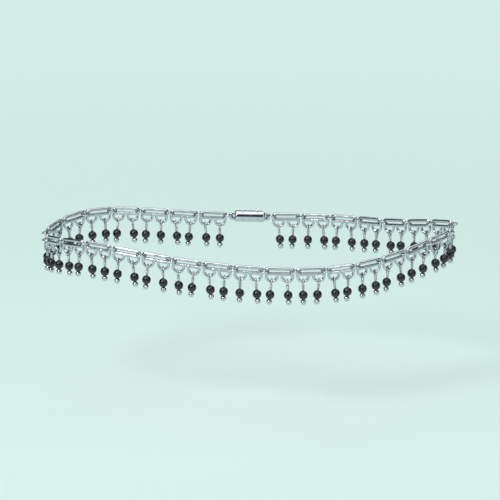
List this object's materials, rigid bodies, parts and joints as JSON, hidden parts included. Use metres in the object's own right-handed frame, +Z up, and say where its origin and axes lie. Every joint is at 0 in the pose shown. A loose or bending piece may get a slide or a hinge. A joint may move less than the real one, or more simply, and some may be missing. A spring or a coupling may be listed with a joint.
{
  "type": "payal anklet",
  "caption": "Worn silver payal anklet: flat oval chain links with a row of soldered rings, each holding a pin with a black bead and a silver ball, and a plain screw clasp.",
  "frame": {"origin": "middle of the opening where the ankle goes, level with the middle of the chain", "axes": "+X towards the heel and -X the instep, -Y the inner side of the ankle, +Z up the leg"},
  "size_m": [0.1026, 0.055, 0.0135],
  "materials": {
    "silver": "polished sterling silver with a little tarnish in the recesses",
    "black_glass": "opaque black glass, polished"
  },
  "bodies": {
    "root": {"long_link_01": "silver", "long_link_02": "silver", "long_link_03": "silver", "long_link_04": "silver", "long_link_05": "silver", "long_link_06": "silver", "long_link_07": "silver", "long_link_08": "silver", "long_link_09": "silver", "long_link_10": "silver", "long_link_11": "silver", "long_link_12": "silver", "long_link_13": "silver", "long_link_14": "silver", "long_link_15": "silver", "long_link_16": "silver", "long_link_17": "silver", "long_link_18": "silver", "long_link_19": "silver", "long_link_20": "silver", "long_link_21": "silver", "long_link_22": "silver", "long_link_23": "silver", "long_link_24": "silver", "long_link_25": "silver", "long_link_26": "silver", "long_link_27": "silver", "long_link_28": "silver", "long_link_29": "silver", "long_link_30": "silver", "long_link_31": "silver", "joining_rings_1": "silver", "joining_rings_2": "silver", "joining_rings_3": "silver", "joining_rings_4": "silver", "joining_rings_5": "silver", "joining_rings_6": "silver", "joining_rings_7": "silver", "joining_rings_8": "silver", "ball_pins_1": "silver", "ball_pins_2": "silver", "ball_pins_3": "silver", "ball_pins_4": "silver", "ball_pins_5": "silver", "ball_pins_6": "silver", "ball_pins_7": "silver", "ball_pins_8": "silver", "clasp": "silver", "black_beads_1": "black_glass", "black_beads_2": "black_glass", "black_beads_3": "black_glass", "black_beads_4": "black_glass", "black_beads_5": "black_glass", "black_beads_6": "black_glass", "black_beads_7": "black_glass", "black_beads_8": "black_glass"}
  },
  "joints": []
}
